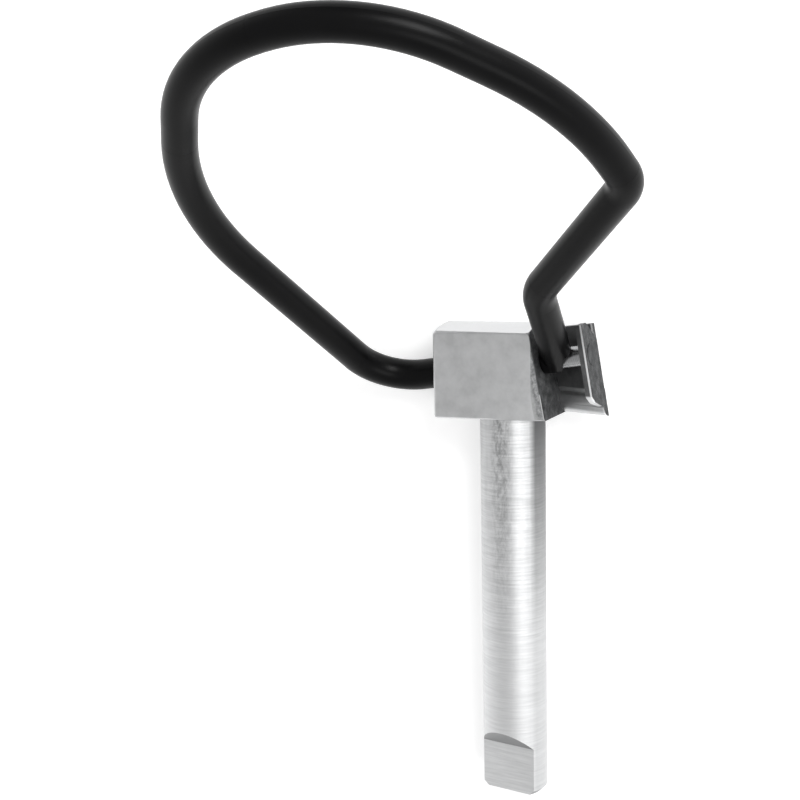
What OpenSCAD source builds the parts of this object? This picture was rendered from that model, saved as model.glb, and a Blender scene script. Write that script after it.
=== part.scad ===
// Wire lock pin. All sizes in millimetres.
// It lies on its back: +X runs down the shank to the tip, +Y is the fork side, +Z is the marked front of the head.
// The origin is on the shank axis in the plane of the head's underside, where the head seats on the fastened part.

/* [Shank] */
// Shank diameter
shank_d = 10; // [6:0.5:20]
// Shank length under the head
shank_len = 60; // [40:1:140]
// Chamfer round the tip
tip_chamfer = 0.7; // [0.3:0.1:1.5]
// Length of the flat at the tip
flat_len = 7.6; // [5:0.2:14]
// Distance from the shank axis to the flat, as a share of the shank radius
flat_share = 0.45; // [0.3:0.05:0.8]
// Turn of the flat about the shank axis, away from the fork
flat_turn = 16; // [0:1:25]

/* [Head] */
// Head height along the shank
head_h = 14.1; // [13:0.1:20]
// Head front's reach from the shank axis, away from the fork
head_left = 11; // [8:0.2:16]
// Head front's reach from the shank axis, towards the fork
head_right = 4; // [2:0.2:5]
// Head depth from front to back
head_depth = 11; // [10:0.2:20]
// Edge radius on the top corner away from the fork
corner_r = 1.1; // [0.6:0.1:2.4]
// Edge radius on the top corner above the fork
crown_r = 3.2; // [2:0.1:4.5]
// Rise of the top's middle over its front and back edges
crown_rise = 0.9; // [0.3:0.1:1.1]

/* [Pivot] */
// Depth of the pivot axis under the top of the head, at the shank axis
axis_drop = 6.2; // [5.6:0.1:6.6]
// Offset of the pivot axis to the front, at the shank axis
axis_front = 0.8; // [0:0.1:1.2]
// Rise of the pivot axis towards the fork
axis_rise = 9; // [6:1:13]
// Turn of the pivot axis to the front, towards the fork
axis_turn = 9; // [6:1:13]
// Diameter of the cross pin in the fork
cross_d = 3.1; // [2.4:0.1:3.4]
// Running clearance of a journal in its hole, on the diameter
fit = 0.12; // [0.06:0.01:0.2]

/* [Fork] */
// Inner cheek's face along the pivot axis
cheek_s = 5.3; // [5.2:0.1:6]
// Free width between the cheeks
slot_w = 6.7; // [6.6:0.1:8]
// Thickness of the outer cheek at its front edge
outer_t = 1; // [0.9:0.1:2.4]
// Angle by which the outer cheek thins towards the back
outer_skew = 4; // [0:0.5:4]
// Height of the rounded web across the fork's foot
web_h = 4.1; // [3:0.1:4.6]
// Free space behind the wire at the inner cheek
wall_gap = 2.2; // [2:0.1:2.6]
// Thickness of the fork's back wall
wall_t = 1.2; // [1.2:0.1:2.4]
// Angle by which the back wall comes forward towards the outer cheek
wall_skew = 11; // [4:1:12]

/* [Bail] */
// Wire diameter
wire_d = 4.7; // [4:0.1:5]
// Loop's reach from the pivot axis
loop_reach = 75.5; // [72:1:90]
// Loop's half width on the side of the plain journal
loop_left = 28.2; // [26:0.1:34]
// Loop's half width on the side of the fork
loop_right = 31.8; // [30:0.1:38]
// Radius of the bow's two bends
wide_r = 23.3; // [18:0.1:26]
// Radius of the two broad bends beside the bow
broad_r = 38; // [30:0.5:40]
// Radius of the two bends next to the head
end_r = 8.4; // [6:0.2:9]
// Radius of the tight bend on the fork side
tight_r = 5; // [4:0.2:6]
// Diameter of the flattened eye
eye_d = 4.2; // [4.1:0.1:5]
// Width of the eye along the pivot axis
eye_w = 3.5; // [3:0.1:4]
// Lean of the bail to the front as photographed, from straight up
lean = 50; // [20:1:90]

/* [Hidden] */
$fn = 96;
e = 0.01;
shank_r = shank_d / 2;
wire_r = wire_d / 2;
flat_at = flat_share * shank_r;
half_depth = head_depth / 2;
big = 3 * head_h;
axis_up = head_h - axis_drop;
side_clear = 0.15;
bend_swell = 0.02;
lap = 0.1;
eye_s0 = cheek_s + side_clear;
eye_s = eye_s0 + wire_r - 0.2;
eye_taper = 27;
outer_s = cheek_s + slot_w;
end_s = outer_s + outer_t;
bore_end = -3;
journal_end = bore_end - 0.5;
wall_at = wire_r + wall_gap;
wall_end = wall_at - slot_w * tan(wall_skew);
wall_back = wall_at + wall_t;
top_x = -head_h;
wall_top = axis_drop - crown_rise - cheek_s * sin(axis_rise) - 0.3;
wall_foot = axis_up - web_h / 2 + cheek_s * sin(axis_rise);
outer_top = wall_top + 0.6;
outer_foot = axis_up + 0.2;
web_r = web_h / 2;
web_turn = axis_turn + wall_skew;
web_y = cheek_s * cos(axis_turn) + wall_at * sin(axis_turn);
web_z = axis_front + cheek_s * sin(axis_turn) - (wall_at + web_r - 0.2) * cos(axis_turn);
crown_arc = (half_depth * half_depth + crown_rise * crown_rise) / (2 * crown_rise);
loop_pts = [
    [journal_end, 0],
    [-loop_left + 6, 0],
    [-loop_left, loop_reach * 0.645],
    [-loop_left + 17.05, loop_reach * 0.978],
    [loop_right - 18.35, loop_reach],
    [loop_right - 1.25, loop_reach * 0.698],
    [loop_right, loop_reach * 0.494],
    [eye_s + 3.9, loop_reach * 0.232],
    [eye_s, 0]
];
loop_rs = [0, end_r, broad_r, wide_r, wide_r, broad_r, tight_r, end_r, 0];
loop_last = len(loop_pts) - 1;

function unit(v) = v / norm(v);
function heading(v) = atan2(v[1], v[0]);
function cross2(a, b) = a[0] * b[1] - a[1] * b[0];
function way_in(i) = unit(loop_pts[i] - loop_pts[i - 1]);
function way_out(i) = unit(loop_pts[i + 1] - loop_pts[i]);
function bend(i) = asin(cross2(way_in(i), way_out(i)));
function setback(i) = (i == 0 || i == loop_last) ? 0 : loop_rs[i] * tan(abs(bend(i)) / 2);

// Places children on the pivot axis: their Z runs along it to the fork, their X down and their Y to the back.
module on_axis() {
    translate([-axis_up, 0, axis_front])
        rotate([axis_turn - 90, 0, axis_rise])
            children();
}

// A bar of round section from one point of the loop's plane to another.
module rod(a, b, d) {
    translate([a[0], a[1], 0])
        rotate([0, 90, heading(b - a)])
            cylinder(h = norm(b - a), d = d);
}

// The bend of the wire at corner i of the loop.
module elbow(i) {
    turn = bend(i);
    side = turn > 0 ? 1 : -1;
    start = loop_pts[i] - way_in(i) * setback(i);
    centre = start + side * loop_rs[i] * [-way_in(i)[1], way_in(i)[0]];
    first = heading(start - centre);
    translate([centre[0], centre[1], 0])
        rotate([0, 0, turn > 0 ? first : first + turn])
            rotate_extrude(angle = abs(turn))
                translate([loop_rs[i], 0])
                    circle(d = wire_d + bend_swell);
}

// The wire's run as bent, before its end is flattened. Each straight bar reaches a little into its bends.
module wire_run() {
    for (i = [0 : loop_last - 1])
        rod(
            loop_pts[i] + way_out(i) * (i == 0 ? 0 : setback(i) - lap),
            loop_pts[i + 1] - way_out(i) * (i + 1 == loop_last ? 0 : setback(i + 1) - lap),
            wire_d
        );
    for (i = [1 : loop_last - 1])
        elbow(i);
}

// Bent wire with a plain journal at one end and a flattened, drilled eye at the other.
module bail() {
    color([0.05, 0.05, 0.055])
        on_axis()
            rotate([0, -90, 90 + lean])
                difference() {
                    union() {
                        difference() {
                            wire_run();
                            translate([eye_s0 - 5, -wire_d, -wire_d])
                                cube([5, wire_d + 3.4, 2 * wire_d]);
                        }
                        translate([eye_s0, 0, 0])
                            rotate([0, 90, 0])
                                cylinder(h = eye_w, d = eye_d);
                    }
                    translate([eye_s0 + eye_w - 0.4, 0, -wire_d])
                        rotate([0, 0, -eye_taper])
                            translate([0, -2 * wire_d, 0])
                                cube([2 * wire_d, 2 * wire_d + 2.6, 2 * wire_d]);
                    translate([eye_s0 - 1, 0, 0])
                        rotate([0, 90, 0])
                            cylinder(h = eye_w + 2, d = cross_d + fit);
                    translate([eye_s0 - 1, 0, 0])
                        rotate([0, 90, 0])
                            cylinder(h = 1.2, d1 = cross_d + fit + 2.4, d2 = cross_d + fit);
                }
}

// Ground cross pin, pressed into both cheeks; the eye turns on it.
module cross_pin() {
    color([0.72, 0.73, 0.74])
        on_axis()
            translate([0, 0, cheek_s - 2.6])
                cylinder(h = end_s - cheek_s + 2.6, d = cross_d);
}

// The part of the outer cheek's outer side that is cut away: a plane that leans in towards the back.
module outer_cut() {
    on_axis()
        translate([0, -wire_r - 0.5, end_s])
            rotate([-outer_skew, 0, 0])
                translate([-big, -big, 0])
                    cube([2 * big, 2 * big, big]);
}

// Side view of the outer cheek across the pivot axis, x down and y to the back.
module cheek_outline(front, back) {
    polygon([
        [-outer_top, front],
        [outer_foot - 2.2, front],
        [outer_foot - 1.1, front + 1.3],
        [outer_foot, front + 4.4],
        [outer_foot, back - 1],
        [outer_foot - 1, back],
        [-outer_top + 3, back],
        [-outer_top, back - 4.4]
    ]);
}

// Upset head: a block with rounded top corners, a crowned top and its end cut square to the pivot axis.
module head_block() {
    difference() {
        translate([top_x, -head_left, -half_depth])
            cube([head_h, head_left + shank_r + 8, head_depth]);
        on_axis()
            translate([-big, -big, cheek_s])
                cube([2 * big, 2 * big, big]);
        translate([0, head_right, half_depth])
            rotate([-12, 0, 0])
                translate([-head_h - 5, -0.6, 0])
                    cube([head_h + 10, 20, 10]);
        translate([top_x, -head_left, -half_depth - 1])
            difference() {
                translate([-1, -1, 0])
                    cube([corner_r + 1, corner_r + 1, head_depth + 2]);
                translate([corner_r, corner_r, -1])
                    cylinder(h = head_depth + 4, r = corner_r);
            }
        translate([top_x, head_right + 1.6 - crown_r, -half_depth - 1])
            difference() {
                translate([-1, 0, 0])
                    cube([crown_r + 1, crown_r + 12, head_depth + 2]);
                translate([crown_r * 1.6, 0, -1])
                    cylinder(h = head_depth + 4, r = crown_r * 1.6);
                translate([crown_r * 0.62, -1, -1])
                    cube([crown_r, crown_r + 20, head_depth + 4]);
            }
        difference() {
            translate([top_x - 1, -head_left - 1, -half_depth - 1])
                cube([crown_rise + 1, head_left + big - 2, head_depth + 2]);
            translate([top_x + crown_arc, -head_left - 2, 0])
                rotate([-90, 0, 0])
                    cylinder(h = head_left + big, r = crown_arc, $fn = 180);
        }
        on_axis()
            translate([0, 0, -head_left - 10])
                cylinder(h = head_left + 10 + bore_end, d = wire_d + fit);
    }
}

// Fork beyond the inner cheek: back wall, rounded web along the seat and outer cheek, trimmed by one plane.
module fork() {
    difference() {
        union() {
            on_axis() {
                translate([-wall_top, wall_at, cheek_s])
                    rotate([wall_skew, 0, 0])
                        translate([0, 0, -1])
                            cube([wall_top + wall_foot, wall_t, slot_w + outer_t + 2]);
                translate([0, 0, outer_s])
                    linear_extrude(height = outer_t + 1)
                        cheek_outline(-wire_r - 0.3, wall_end + wall_t);
            }
            translate([-web_r, web_y, web_z])
                rotate([web_turn - 90, 0, 0])
                    translate([0, 0, -1])
                        cylinder(h = slot_w + outer_t + 3, r = web_r);
        }
        outer_cut();
        on_axis()
            translate([-big, wall_at + wall_t + 0.3, cheek_s])
                rotate([wall_skew, 0, 0])
                    translate([0, 0, -big])
                        cube([2 * big, big, 2 * big]);
    }
}

// Shank with its turned chamfer and the flat with its ramp at the tip.
module shank() {
    difference() {
        union() {
            rotate([0, 90, 0])
                translate([0, 0, -1])
                    cylinder(h = shank_len - tip_chamfer + 1, r = shank_r);
            translate([shank_len - tip_chamfer - e, 0, 0])
                rotate([0, 90, 0])
                    cylinder(h = tip_chamfer + e, r1 = shank_r, r2 = shank_r - tip_chamfer);
        }
        rotate([flat_turn, 0, 0])
            translate([shank_len - flat_len, -shank_d, flat_at]) {
                cube([flat_len + 5, 2 * shank_d, shank_d]);
                rotate([0, -45, 0])
                    cube([shank_d, 2 * shank_d, shank_d]);
            }
    }
}

// Shank, head and fork are one forging.
module pin_body() {
    color([0.74, 0.75, 0.76])
        difference() {
            union() {
                shank();
                head_block();
                fork();
            }
            on_axis()
                translate([0, 0, cheek_s - 2.7])
                    cylinder(h = big, d = cross_d - e);
        }
}

pin_body();
cross_pin();
bail();
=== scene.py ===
# %% [markdown]
# # Wire lock pin: looks
# The CAD frame brings three solids: the forged pin, its cross pin and the bent wire bail.
# This notebook keeps their shapes and places, dresses them in plated, rough-cut and coated metal, and lights them.

# %% Load the frame
import math

import bmesh
import bpy
from mathutils import Matrix, Vector


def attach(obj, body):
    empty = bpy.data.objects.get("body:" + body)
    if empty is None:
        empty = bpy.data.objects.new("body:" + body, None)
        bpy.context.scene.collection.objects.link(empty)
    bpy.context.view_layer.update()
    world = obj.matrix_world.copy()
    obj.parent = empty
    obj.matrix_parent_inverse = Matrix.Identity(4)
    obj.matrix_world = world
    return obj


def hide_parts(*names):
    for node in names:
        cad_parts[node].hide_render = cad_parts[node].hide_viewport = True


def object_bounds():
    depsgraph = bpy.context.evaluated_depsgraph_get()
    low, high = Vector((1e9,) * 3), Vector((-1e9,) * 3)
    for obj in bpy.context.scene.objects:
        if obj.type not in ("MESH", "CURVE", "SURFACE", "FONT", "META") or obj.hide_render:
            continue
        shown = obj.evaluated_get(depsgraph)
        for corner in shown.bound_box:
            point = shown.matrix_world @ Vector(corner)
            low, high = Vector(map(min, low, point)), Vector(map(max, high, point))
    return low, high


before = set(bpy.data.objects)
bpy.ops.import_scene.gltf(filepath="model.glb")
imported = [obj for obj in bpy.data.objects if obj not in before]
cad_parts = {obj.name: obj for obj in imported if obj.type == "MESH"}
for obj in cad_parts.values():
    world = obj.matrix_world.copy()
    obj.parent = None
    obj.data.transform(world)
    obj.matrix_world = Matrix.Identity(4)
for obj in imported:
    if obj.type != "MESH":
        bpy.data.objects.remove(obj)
cad_low, cad_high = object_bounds()

# %% [markdown]
# ## The sizes that the looks depend on
# The rough faces and the turned rings sit at places that come from the CAD. They are repeated here in metres,
# so that every mask below reads from one list. The fork has its own directions: along the pivot axis, down and back.

# %% Name the sizes
MM = 0.001
AXIS_RISE = math.radians(9)
AXIS_TURN = math.radians(9)
OUTER_SKEW = math.radians(4)
AXIS_POINT = Vector((-7.9, 0, 0.8)) * MM
CHEEK_AT = 5.3 * MM
END_AT = 13.0 * MM
OUTER_FRONT = -2.65 * MM
WEB_H = 4.1 * MM
CROWN_FROM = -11 * MM
FLAT_START = 52.4 * MM
CHAMFER_START = 58.8 * MM
tilt = Matrix.Rotation(AXIS_RISE, 3, "Z") @ Matrix.Rotation(AXIS_TURN - math.pi / 2, 3, "X")
down, back, axis = (tilt @ Vector(v) for v in ((1, 0, 0), (0, 1, 0), (0, 0, 1)))
outer_normal = tilt @ Vector((0, math.sin(OUTER_SKEW), math.cos(OUTER_SKEW)))
outer_point = AXIS_POINT + axis * END_AT + back * OUTER_FRONT
print("pivot axis:", [round(v, 3) for v in axis])

# %% [markdown]
# ## Camera
# The photograph was matched with a camera that stands 0.23 m away, turned 17.5 degrees to the fork side and raised
# 9.7 degrees over the head. The picture's up direction is the pin's -X, and it needs no shift.

# %% Place the camera
PICTURE = 800
FOCAL_PX = 1501.8
EYE = Vector((-41.28, 51.55, 220.21)) * MM
YAW, PITCH, ROLL = 0.3059, 0.1699, -0.0215
SENSOR = 36
right = Vector((0, math.cos(YAW), -math.sin(YAW)))
forward = Vector((math.sin(PITCH), -math.sin(YAW) * math.cos(PITCH), -math.cos(YAW) * math.cos(PITCH)))
up = right.cross(forward)
right_r = right * math.cos(ROLL) + up * math.sin(ROLL)
up_r = up * math.cos(ROLL) - right * math.sin(ROLL)
camera = bpy.data.objects.new("Camera", bpy.data.cameras.new("Camera"))
bpy.context.scene.collection.objects.link(camera)
camera.data.sensor_width = SENSOR
camera.data.lens = FOCAL_PX / PICTURE * SENSOR
camera.data.clip_start = 0.01
camera.data.clip_end = 10
camera.matrix_world = Matrix.Translation(EYE) @ Matrix((right_r, up_r, -forward)).transposed().to_4x4()
bpy.context.scene.camera = camera
print("lens:", round(camera.data.lens, 1), "mm")

# %% [markdown]
# ## Node helpers
# Each material is built from small calls: one adds a node and sets its inputs, and one links two sockets.


# %% Helpers
def new_material(name):
    mat = bpy.data.materials.new(name)
    mat.use_nodes = True
    mat.node_tree.nodes.clear()
    return mat, mat.node_tree


def add(tree, kind, label="", **inputs):
    node = tree.nodes.new(kind)
    node.label = label
    for key, value in inputs.items():
        node.inputs[key.replace("_", " ")].default_value = value
    return node


def math_node(tree, operation, a, b=None, label="", clamp=False):
    node = tree.nodes.new("ShaderNodeMath")
    node.operation = operation
    node.label = label
    node.use_clamp = clamp
    for i, v in enumerate((a, b)):
        if v is None:
            continue
        if isinstance(v, (int, float)):
            node.inputs[i].default_value = v
        else:
            tree.links.new(v, node.inputs[i])
    return node.outputs[0]


def ramp(tree, value, stops, label=""):
    node = tree.nodes.new("ShaderNodeValToRGB")
    node.label = label
    points = node.color_ramp.elements
    while len(points) < len(stops):
        points.new(0.5)
    for point, (at, colour) in zip(points, stops):
        point.position = at
        point.color = (*colour, 1) if len(colour) == 3 else colour
    tree.links.new(value, node.inputs[0])
    return node.outputs[0]


def mix_colour(tree, fac, a, b, label=""):
    node = tree.nodes.new("ShaderNodeMix")
    node.data_type = "RGBA"
    node.label = label
    for socket, v in ((node.inputs[0], fac), (node.inputs[6], a), (node.inputs[7], b)):
        if isinstance(v, bpy.types.NodeSocket):
            tree.links.new(v, socket)
        else:
            socket.default_value = v if isinstance(v, (int, float)) else (*v, 1)
    return node.outputs[2]


def mix_value(tree, fac, a, b, label=""):
    node = tree.nodes.new("ShaderNodeMix")
    node.data_type = "FLOAT"
    node.label = label
    for socket, v in ((node.inputs[0], fac), (node.inputs[2], a), (node.inputs[3], b)):
        if isinstance(v, bpy.types.NodeSocket):
            tree.links.new(v, socket)
        else:
            socket.default_value = v
    return node.outputs[0]


def multiply_colour(tree, a, b):
    node = tree.nodes.new("ShaderNodeMix")
    node.data_type = "RGBA"
    node.blend_type = "MULTIPLY"
    node.inputs[0].default_value = 1
    tree.links.new(a, node.inputs[6])
    tree.links.new(b, node.inputs[7])
    return node.outputs[2]


def noise(tree, vector, scale, detail=4.0, rough=0.55, label=""):
    node = add(tree, "ShaderNodeTexNoise", label, Scale=scale, Detail=detail, Roughness=rough)
    tree.links.new(vector, node.inputs["Vector"])
    return node.outputs["Fac"]


def stretched(tree, vector, scale, label=""):
    node = add(tree, "ShaderNodeMapping", label)
    node.inputs["Scale"].default_value = scale
    tree.links.new(vector, node.inputs["Vector"])
    return node.outputs["Vector"]


def bump(tree, height, strength, distance, below=None, label=""):
    node = add(tree, "ShaderNodeBump", label)
    node.inputs["Strength"].default_value = strength
    node.inputs["Distance"].default_value = distance
    tree.links.new(height, node.inputs["Height"])
    if below is not None:
        tree.links.new(below, node.inputs["Normal"])
    return node.outputs["Normal"]


def finish_with(tree, shader):
    out = tree.nodes.new("ShaderNodeOutputMaterial")
    tree.links.new(shader.outputs[0], out.inputs["Surface"])


# %% [markdown]
# ## Surface grain, shared
# Every finish here has the same two things on it: slow clouds, where the coat is thicker or thinner, and a fine
# grain. They are built once as a node group, and each material gives it its own scales.


# %% The grain group
def grain_group():
    group = bpy.data.node_groups.new("surface_grain", "ShaderNodeTree")
    group.interface.new_socket("Vector", in_out="INPUT", socket_type="NodeSocketVector")
    for name in ("Cloud Scale", "Grain Scale"):
        group.interface.new_socket(name, in_out="INPUT", socket_type="NodeSocketFloat")
    for name in ("Clouds", "Grain", "Height"):
        group.interface.new_socket(name, in_out="OUTPUT", socket_type="NodeSocketFloat")
    source = group.nodes.new("NodeGroupInput")
    result = group.nodes.new("NodeGroupOutput")
    clouds = add(group, "ShaderNodeTexNoise", "slow clouds", Detail=5.0, Roughness=0.6)
    grain = add(group, "ShaderNodeTexNoise", "fine grain", Detail=3.0, Roughness=0.6)
    for node, scale in ((clouds, "Cloud Scale"), (grain, "Grain Scale")):
        group.links.new(source.outputs["Vector"], node.inputs["Vector"])
        group.links.new(source.outputs[scale], node.inputs["Scale"])
    height = math_node(group, "MULTIPLY_ADD", grain.outputs["Fac"], 0.25, "height")
    group.links.new(clouds.outputs["Fac"], height.node.inputs[2])
    group.links.new(clouds.outputs["Fac"], result.inputs["Clouds"])
    group.links.new(grain.outputs["Fac"], result.inputs["Grain"])
    group.links.new(height, result.inputs["Height"])
    return group


GRAIN = grain_group()


def surface_grain(tree, vector, cloud_scale, grain_scale):
    node = tree.nodes.new("ShaderNodeGroup")
    node.node_tree = GRAIN
    node.inputs["Cloud Scale"].default_value = cloud_scale
    node.inputs["Grain Scale"].default_value = grain_scale
    tree.links.new(vector, node.inputs["Vector"])
    return node.outputs["Clouds"], node.outputs["Grain"], node.outputs["Height"]


print("group:", GRAIN.name)

# %% [markdown]
# ## Bright plated steel
# The forging is one piece, so it has one material. Masks, read from object coordinates and from the face's own
# direction, tell its surfaces apart: the turned shank with fine rings, the satin head with painted light on its top,
# the rough dark cut faces square to the pivot axis, and the inside of the fork, dark with painted shade.


# %% Mask helpers
def dot_with(tree, vector, direction):
    node = tree.nodes.new("ShaderNodeVectorMath")
    node.operation = "DOT_PRODUCT"
    tree.links.new(vector, node.inputs[0])
    node.inputs[1].default_value = direction
    return node.outputs["Value"]


def beyond(tree, value, at, soft):
    node = math_node(tree, "MULTIPLY_ADD", value, 1 / soft, clamp=True)
    node.node.inputs[2].default_value = 0.5 - at / soft
    return node


def product(tree, *values):
    result = values[0]
    for value in values[1:]:
        result = math_node(tree, "MULTIPLY", result, value)
    return result


def inverse(tree, value):
    return math_node(tree, "SUBTRACT", 1.0, value)


def grey(value, step=0.005):
    return (value, value + step, value + 2 * step)


# %% [markdown]
# ### Masks of the fork
# Distances along the slanted axis and past the outer face tell the fork's surfaces apart: two cut faces that are
# square to the axis, the inside, dark with painted shade, the bright rounded web, and a painted highlight along the
# thin cheek's front edge.


# %% Masks of the fork
def fork_masks(t, place, facing, along):
    reach = math_node(t, "SUBTRACT", dot_with(t, place, axis), AXIS_POINT.dot(axis), "along the pivot axis")
    outward = dot_with(t, place, outer_normal)
    outward = math_node(t, "SUBTRACT", outward, outer_point.dot(outer_normal), "past the outer face")
    in_fork = beyond(t, reach, CHEEK_AT - 0.12 * MM, 0.08 * MM)

    square = beyond(t, dot_with(t, facing, axis), 0.9, 0.05)
    inner_cheek = math_node(t, "LESS_THAN", reach, CHEEK_AT + 0.4 * MM)
    outer_face = beyond(t, outward, -0.12 * MM, 0.06 * MM)
    cut = product(t, square, in_fork, math_node(t, "MAXIMUM", inner_cheek, outer_face))

    web = product(t, in_fork, beyond(t, along, 0.1 * MM - WEB_H, 0.25 * MM), inverse(t, cut))
    # The rest of the inside of the fork, which gets painted shade.
    inside_with_painted_shade = product(t, in_fork, inverse(t, web), inverse(t, cut))

    frontward = beyond(t, dot_with(t, facing, -back), 0.45, 0.2)
    # A thin line along the thin cheek's front edge, which gets a painted highlight.
    rim_painted_highlight = product(t, beyond(t, outward, -0.28 * MM, 0.1 * MM), inverse(t, square), in_fork, frontward)
    return in_fork, cut, inside_with_painted_shade, rim_painted_highlight


# %% [markdown]
# ### Mask of the slanted strip
# Between the head's front and the cut cheek lies a narrow face that leans to the fork side. It is mottled.


# %% Mask of the strip
def strip_mask(t, facing, along, in_fork):
    leaning = beyond(t, dot_with(t, facing, (0, 1, 0)), 0.15, 0.04)
    frontal = beyond(t, dot_with(t, facing, (0, 0, 1)), 0.6, 0.1)
    on_head = math_node(t, "LESS_THAN", along, 0.0)
    return product(t, leaning, frontal, inverse(t, in_fork), on_head)


# %% [markdown]
# ### Colour of the shank
# Fine turned rings cover it, with faint streaks along it. Near the head it is scuffed in a band left of the middle,
# and the band also carries a painted dark reflection; painted shade darkens the right side and the left edge, all
# fading towards the tip, and painted light makes the shank lighter towards the tip. Painted shade darkens the flat's
# run-out and the tip's chamfer.

# %% Colour of the shank
PAINTED_LIGHT_FROM, PAINTED_LIGHT_FADE = 26 * MM, 40 * MM
HEAD_SIDE_TO, HEAD_SIDE_FADE = 17 * MM, 34 * MM


def scuffed_and_shaded(t, shank, place, facing, along):
    side = dot_with(t, facing, (0, 1, 0))
    near_head = inverse(t, beyond(t, along, HEAD_SIDE_TO, HEAD_SIDE_FADE))
    scuffs = noise(t, stretched(t, place, (0.5, 1, 1), "scuffs"), 1500, 5, 0.7, "scuffs")
    scuffs = ramp(t, scuffs, [(0.40, (0, 0, 0)), (0.62, (1, 1, 1))], "scuff mask")
    # The band is scuffs and also a painted dark reflection, stronger near the head.
    band_with_painted_reflection = product(t, beyond(t, side, -0.42, 0.3), inverse(t, beyond(t, side, 0.12, 0.3)), near_head, scuffs)
    # Painted shade on the right side of the shank, strongest near the head.
    painted_shade_right = product(t, beyond(t, side, 0.74, 0.16), mix_value(t, near_head, 0.22, 1.0))
    # Painted shade on the left edge of the shank, stronger near the head.
    painted_shade_left = product(t, inverse(t, beyond(t, side, -0.5, 0.3)), mix_value(t, near_head, 0.1, 0.4))
    shank = mix_colour(t, math_node(t, "MULTIPLY", band_with_painted_reflection, 0.75), shank, grey(0.20, 0.0025), "scuffed band")
    shank = mix_colour(t, math_node(t, "MULTIPLY", painted_shade_right, 0.95), shank, grey(0.09, 0.0015), "dark side")
    return mix_colour(t, painted_shade_left, shank, grey(0.25, 0.003), "dimmer left")


def shank_colour(t, place, facing, along, rings):
    streaks = noise(t, stretched(t, place, (0.22, 1, 1), "streaks"), 900, 4, 0.65, "wear streaks")
    # This mask grows towards the tip: it thins the streaks and drives the painted light that makes the shank lighter
    # towards the tip.
    wear_and_painted_light = beyond(t, along, PAINTED_LIGHT_FROM, PAINTED_LIGHT_FADE)
    ring_tone = ramp(t, rings, [(0.3, grey(0.50)), (0.7, grey(0.84))], "ring tone")
    streak_tone = ramp(t, streaks, [(0.35, grey(0.42)), (0.6, grey(0.80))], "streak tone")
    shank = mix_colour(t, mix_value(t, wear_and_painted_light, 0.18, 0.03), ring_tone, streak_tone, "shank")
    # Painted light: the shank is lighter towards the tip.
    shank = mix_colour(t, mix_value(t, wear_and_painted_light, 0.0, 0.55), shank, grey(0.78), "lighter to the tip")
    shank = scuffed_and_shaded(t, shank, place, facing, along)

    # Painted shade darkens the flat's run-out and the tip's chamfer.
    toward_tip = dot_with(t, facing, (1, 0, 0))
    before_flat = math_node(t, "LESS_THAN", along, FLAT_START + 0.2 * MM)
    run_out = product(t, beyond(t, toward_tip, 0.45, 0.1), before_flat)
    at_tip = math_node(t, "GREATER_THAN", along, CHAMFER_START)
    not_end = inverse(t, beyond(t, toward_tip, 0.95, 0.03))
    chamfer = product(t, beyond(t, toward_tip, 0.3, 0.1), at_tip, not_end)
    painted_end_shade = math_node(t, "MAXIMUM", run_out, chamfer)
    return mix_colour(t, painted_end_shade, shank, grey(0.30, 0.003), "run-out and chamfer")


# %% [markdown]
# ### The whole forging
# The colours are laid over each other with the masks, and the same masks set how rough, how metallic and how uneven
# each surface is.


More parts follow.
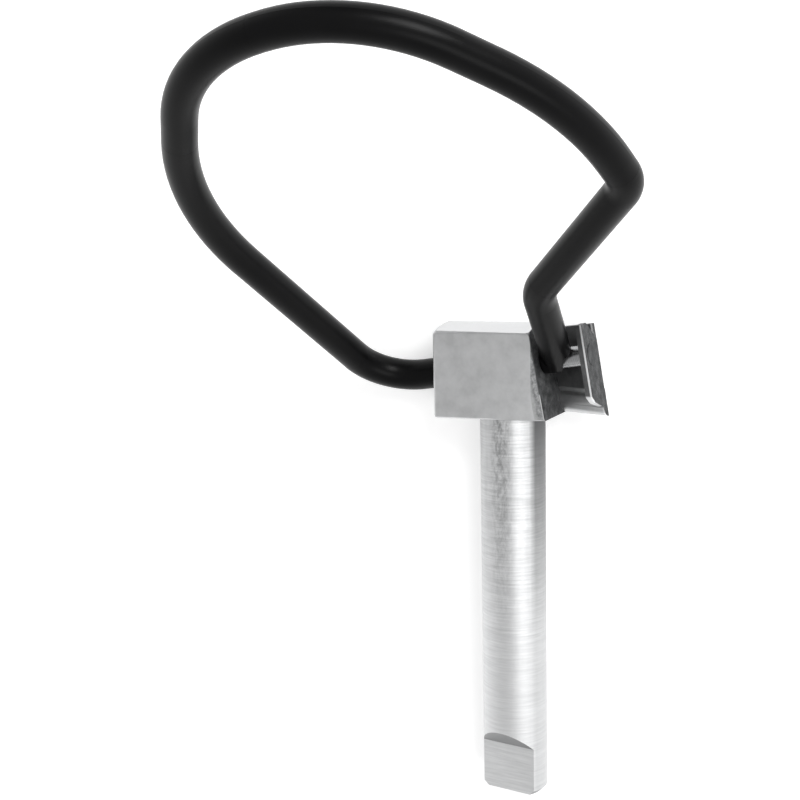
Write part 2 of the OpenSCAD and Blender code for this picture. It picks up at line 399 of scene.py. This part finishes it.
# %% Plated steel
def plated_steel():
    mat, t = new_material("plated_steel")
    coords = add(t, "ShaderNodeTexCoord")
    place, facing = coords.outputs["Object"], coords.outputs["Normal"]
    split = add(t, "ShaderNodeSeparateXYZ")
    t.links.new(place, split.inputs[0])
    along = split.outputs["X"]
    in_fork, cut, inside_with_painted_shade, rim_painted_highlight = fork_masks(t, place, facing, along)
    strip = strip_mask(t, facing, along, in_fork)
    on_shank = math_node(t, "GREATER_THAN", along, 0.02 * MM, "on the shank")

    rings = noise(t, stretched(t, place, (1, 0.05, 0.05), "rings"), 3400, 4, 0.7, "turned rings")
    clouds, grain, skin = surface_grain(t, place, 420, 5200)
    pits = noise(t, place, 1700, 6, 0.75, "rough pits")
    clumps = noise(t, place, 700, 4, 0.7, "rough clumps")

    plate = ramp(t, clouds, [(0.3, grey(0.56)), (0.5, grey(0.63)), (0.72, grey(0.69))], "plate")
    # Painted light: the head's top face is brighter.
    top_painted_light = beyond(t, dot_with(t, facing, (-1, 0, 0)), 0.85, 0.1)
    plate = mix_colour(t, top_painted_light, plate, grey(0.67), "bright top")
    shank = shank_colour(t, place, facing, along, rings)
    mottle = ramp(t, pits, [(0.35, grey(0.10, 0.0025)), (0.65, grey(0.42))], "slanted strip")
    # Painted shade inside the fork.
    pocket_painted_shade = ramp(t, clouds, [(0.3, grey(0.06, 0.0015)), (0.7, grey(0.14, 0.0025))], "fork's inside")
    cut_stops = [(0.32, grey(0.02, 0.001)), (0.5, grey(0.055, 0.0015)), (0.72, grey(0.13, 0.0025))]
    dark = ramp(t, clumps, cut_stops, "cut face")

    base = mix_colour(t, on_shank, plate, shank, "head or shank")
    base = mix_colour(t, math_node(t, "MULTIPLY", strip, 0.85), base, mottle, "strip")
    base = mix_colour(t, inside_with_painted_shade, base, pocket_painted_shade, "inside the fork")
    # Painted highlight along the thin cheek's front edge.
    base = mix_colour(t, rim_painted_highlight, base, grey(0.80), "bright rim")
    base = mix_colour(t, cut, base, dark, "plate or cut")

    head_rough = mix_value(t, grain, 0.30, 0.46, "head's roughness")
    shank_rough = mix_value(t, rings, 0.42, 0.56, "shank's roughness")
    rough = mix_value(t, on_shank, head_rough, shank_rough)
    rough = mix_value(t, math_node(t, "MAXIMUM", inside_with_painted_shade, strip), rough, 0.55)
    rough = mix_value(t, cut, rough, 0.8)
    metal = mix_value(t, cut, mix_value(t, inside_with_painted_shade, 1.0, 0.6), 0.2, "metallic")

    ring_bump = bump(t, product(t, rings, on_shank), 0.5, 0.02 * MM, label="rings")
    skin_bump = bump(t, skin, 0.35, 0.05 * MM, ring_bump, "forged skin")
    cut_height = product(t, math_node(t, "ADD", pits, clumps), math_node(t, "MAXIMUM", cut, strip))
    cut_bump = bump(t, cut_height, 0.9, 0.22 * MM, skin_bump, "rough cut")

    shader = add(t, "ShaderNodeBsdfPrincipled")
    t.links.new(base, shader.inputs["Base Color"])
    t.links.new(rough, shader.inputs["Roughness"])
    t.links.new(metal, shader.inputs["Metallic"])
    t.links.new(cut_bump, shader.inputs["Normal"])
    finish_with(t, shader)
    return mat


# %% [markdown]
# ## Ground cross pin
# A ground pin is brighter and smoother than the plating round it, with hair-fine grinding lines round its axis.
# Its end was cut off with the cheek, so it is as dark and rough as the cheek's outer side.


# %% Ground steel
def ground_steel():
    mat, t = new_material("ground_steel")
    coords = add(t, "ShaderNodeTexCoord")
    place = coords.outputs["Object"]
    along = dot_with(t, place, axis)
    end = product(
        t,
        beyond(t, dot_with(t, coords.outputs["Normal"], axis), 0.9, 0.05),
        beyond(t, along, AXIS_POINT.dot(axis) + END_AT - 0.3 * MM, 0.1 * MM),
    )
    clouds, _, skin = surface_grain(t, place, 700, 4200)
    lines = add(t, "ShaderNodeTexNoise", "grinding lines", Scale=9000.0, Detail=2.0)
    lines.noise_dimensions = "1D"
    t.links.new(along, lines.inputs["W"])
    colour = ramp(t, lines.outputs["Fac"], [(0.3, grey(0.27)), (0.7, grey(0.42))], "ground side")
    dark = ramp(t, clouds, [(0.3, grey(0.022, 0.001)), (0.7, grey(0.09, 0.0025))], "cut end")
    colour = mix_colour(t, end, colour, dark, "side or end")
    shader = add(t, "ShaderNodeBsdfPrincipled")
    t.links.new(colour, shader.inputs["Base Color"])
    t.links.new(mix_value(t, end, 1.0, 0.2), shader.inputs["Metallic"])
    rough = mix_value(t, end, mix_value(t, lines.outputs["Fac"], 0.22, 0.36), 0.8)
    t.links.new(rough, shader.inputs["Roughness"])
    line_bump = bump(t, lines.outputs["Fac"], 0.3, 0.01 * MM)
    t.links.new(bump(t, product(t, skin, end), 0.9, 0.2 * MM, line_bump), shader.inputs["Normal"])
    finish_with(t, shader)
    return mat


# %% [markdown]
# ## Black coated wire
# The bail has a thin black satin coating. It shows a soft highlight along the bow, a faint orange-peel surface,
# and small lighter rubs.


# %% Black wire
def black_wire():
    mat, t = new_material("black_wire")
    coords = add(t, "ShaderNodeTexCoord")
    place = coords.outputs["Object"]
    clouds, grain, skin = surface_grain(t, place, 160, 1500)
    rub = noise(t, place, 1300, 6, 0.7, "rubs")
    wear_and_painted_light = math_node(t, "GREATER_THAN", rub, 0.70, "small rubs")
    colour = mix_colour(t, clouds, (0.0018, 0.0018, 0.0020), (0.0045, 0.0045, 0.0048), "black coat")
    colour = mix_colour(t, math_node(t, "MULTIPLY", wear_and_painted_light, 0.3), colour, (0.04, 0.04, 0.042), "rubbed coat")
    shader = add(t, "ShaderNodeBsdfPrincipled", Metallic=0.0)
    shader.inputs["Specular IOR Level"].default_value = 0.10
    t.links.new(colour, shader.inputs["Base Color"])
    t.links.new(mix_value(t, clouds, 0.26, 0.38), shader.inputs["Roughness"])
    t.links.new(bump(t, math_node(t, "ADD", grain, skin), 0.2, 0.02 * MM), shader.inputs["Normal"])
    finish_with(t, shader)
    return mat


# %% [markdown]
# ## Soften the forging's edges
# No forging has knife edges, and it is the small round on each edge that catches the light. The CAD solid has true
# corners, so a copy of its mesh is merged into a closed skin and its outer edges get a small bevel. The head's edges
# are rounder than the thin cheek's and the tip's, and the bore's mouth stays sharp. The tiny edges at the crown's
# corners are merged first, because they would stop the bevel. The copy then stands for the CAD node.


# %% Bevel a copy of the pin
HEAD_ROUND = 0.5 * MM
FORK_ROUND = 0.12 * MM
TIP_ROUND = 0.10 * MM
BORE_CLEAR = 3 * MM
CORNER_MERGE = 0.3 * MM
SAME_POINT = 0.0005 * MM
SAME_PLANE = math.radians(0.5)
OUTER_EDGE = math.radians(28)
TRUE_EDGE = math.radians(10)


def edge_round(edge):
    middle = (edge.verts[0].co + edge.verts[1].co) / 2
    if middle.x > 0.1 * MM:
        return TIP_ROUND if middle.x > FLAT_START - 4 * MM else 0
    reach = (middle - AXIS_POINT).dot(axis)
    if (middle - AXIS_POINT - axis * reach).length < BORE_CLEAR:
        return 0
    return FORK_ROUND if reach > CHEEK_AT - 0.05 * MM else HEAD_ROUND


def softened_copy(source, name):
    skin = bmesh.new()
    skin.from_mesh(source.data)
    bmesh.ops.remove_doubles(skin, verts=skin.verts, dist=SAME_POINT)
    bmesh.ops.dissolve_limit(skin, angle_limit=SAME_PLANE, verts=skin.verts, edges=skin.edges)
    before_cheek = CHEEK_AT - 0.1 * MM
    crown = [
        v
        for v in skin.verts
        if v.co.x < CROWN_FROM and (v.co - AXIS_POINT).dot(axis) < before_cheek
    ]
    bmesh.ops.remove_doubles(skin, verts=crown, dist=CORNER_MERGE)
    rounded = skin.faces.layers.int.new("rounded")
    for size in (HEAD_ROUND, FORK_ROUND, TIP_ROUND):
        sharp = [
            edge
            for edge in skin.edges
            if len(edge.link_faces) == 2
            and edge.calc_face_angle_signed() > OUTER_EDGE
            and edge_round(edge) == size
        ]
        result = bmesh.ops.bevel(
            skin,
            geom=sharp,
            offset=size,
            offset_type="OFFSET",
            affect="EDGES",
            segments=3,
            profile=0.5,
            material=-1,
            clamp_overlap=size != HEAD_ROUND,
        )
        for face in result["faces"]:
            face[rounded] = 1
    for edge in skin.edges:
        turn = abs(edge.calc_face_angle_signed(0))
        soft = any(face[rounded] for face in edge.link_faces)
        edge.smooth = turn < (OUTER_EDGE if soft else TRUE_EDGE)
    mesh = bpy.data.meshes.new(name)
    skin.to_mesh(mesh)
    print(name, "faces:", len(skin.faces), "open edges:", sum(not e.is_manifold for e in skin.edges))
    skin.free()
    mesh.polygons.foreach_set("use_smooth", [True] * len(mesh.polygons))
    piece = bpy.data.objects.new(name, mesh)
    bpy.context.scene.collection.objects.link(piece)
    return piece


forged_pin = softened_copy(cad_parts["pin_body"], "forged_pin")
forged_pin.data.materials.append(plated_steel())
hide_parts("pin_body")
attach(forged_pin, "pin")

# %% [markdown]
# ## Dress the other CAD nodes
# The cross pin and the bail keep their meshes. Each gets its material.

# %% Assign the materials
looks = {"cross_pin": ground_steel(), "bail": black_wire()}
for node, mat in looks.items():
    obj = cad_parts[node]
    obj.data.materials.clear()
    obj.data.materials.append(mat)
print("dressed:", ", ".join(sorted(looks)))

# %% [markdown]
# ## Floor and light
# The pin lies on its back on a white sheet. The photograph has a pure white ground, so what the camera and the metal
# see of the sheet is lifted a little towards white, and the sheet still shows the pin's soft shadow.

# %% Floor
FLOOR_SIZE = 4
FLOOR_LIFT = 0.38
floor_z = cad_low.z
bpy.ops.mesh.primitive_plane_add(size=FLOOR_SIZE, location=(0, 0, floor_z))
floor = bpy.context.object
floor.name = "floor"
fmat, ft = new_material("floor_white")
sheet = add(ft, "ShaderNodeBsdfPrincipled", Roughness=0.9)
sheet.inputs["Base Color"].default_value = (0.9, 0.9, 0.9, 1)
rays = add(ft, "ShaderNodeLightPath")
seen = math_node(ft, "MAXIMUM", rays.outputs["Is Camera Ray"], rays.outputs["Is Glossy Ray"], "seen by eye or metal")
lift = add(ft, "ShaderNodeEmission", "lift to white")
ft.links.new(math_node(ft, "MULTIPLY", seen, FLOOR_LIFT), lift.inputs["Strength"])
both = ft.nodes.new("ShaderNodeAddShader")
ft.links.new(sheet.outputs[0], both.inputs[0])
ft.links.new(lift.outputs[0], both.inputs[1])
finish_with(ft, both)
floor.data.materials.append(fmat)
print("floor at", round(floor_z * 1000, 2), "mm")


# %% [markdown]
# Polished metal shows what surrounds it. A studio has bright walls and a dimmer ceiling, so the world is a soft
# gradient from the horizon up, with a darker wall behind the head for the line on the head's upper edge. One lamp at
# the upper right draws the soft line on the wire, and one at the lower right draws the bright line down the shank.


# %% World and lamps
def studio_world():
    world = bpy.data.worlds.new("studio")
    world.use_nodes = True
    t = world.node_tree
    t.nodes.clear()
    coords = add(t, "ShaderNodeTexCoord")
    split = add(t, "ShaderNodeSeparateXYZ")
    t.links.new(coords.outputs["Generated"], split.inputs[0])
    stops = [(0.0, 1.1), (0.25, 0.95), (0.6, 0.6), (1.0, 0.6)]
    shade = ramp(t, split.outputs["Z"], [(at, (tone,) * 3) for at, tone in stops], "walls to ceiling")
    behind = math_node(t, "MULTIPLY", split.outputs["X"], -1.0, "behind the head")
    behind = ramp(t, behind, [(0.72, (1, 1, 1)), (0.92, (0.25, 0.25, 0.25))], "dark wall")
    light = add(t, "ShaderNodeBackground", "studio")
    t.links.new(multiply_colour(t, shade, behind), light.inputs["Color"])
    white = add(t, "ShaderNodeBackground", "white ground")
    white.inputs["Color"].default_value = (1, 1, 1, 1)
    rays = add(t, "ShaderNodeLightPath")
    mix = t.nodes.new("ShaderNodeMixShader")
    t.links.new(rays.outputs["Is Camera Ray"], mix.inputs[0])
    t.links.new(light.outputs[0], mix.inputs[1])
    t.links.new(white.outputs[0], mix.inputs[2])
    out = t.nodes.new("ShaderNodeOutputWorld")
    t.links.new(mix.outputs[0], out.inputs["Surface"])
    return world


def area_light(name, place, size, power, aim=(0, 0, 0)):
    light = bpy.data.objects.new(name, bpy.data.lights.new(name, "AREA"))
    light.data.shape = "RECTANGLE"
    light.data.size, light.data.size_y = size
    light.data.energy = power
    light.location = place
    direction = Vector(aim) - Vector(place)
    light.rotation_mode = "QUATERNION"
    light.rotation_quaternion = direction.to_track_quat("-Z", "Y")
    bpy.context.scene.collection.objects.link(light)
    return light


bpy.context.scene.world = studio_world()
area_light("key", (-0.35, 0.3, 0.4), (0.25, 0.25), 2.0)
area_light("fill", (0.16, 0.30, 0.42), (0.22, 0.40), 0.62)
bpy.context.scene.view_settings.view_transform = "Standard"
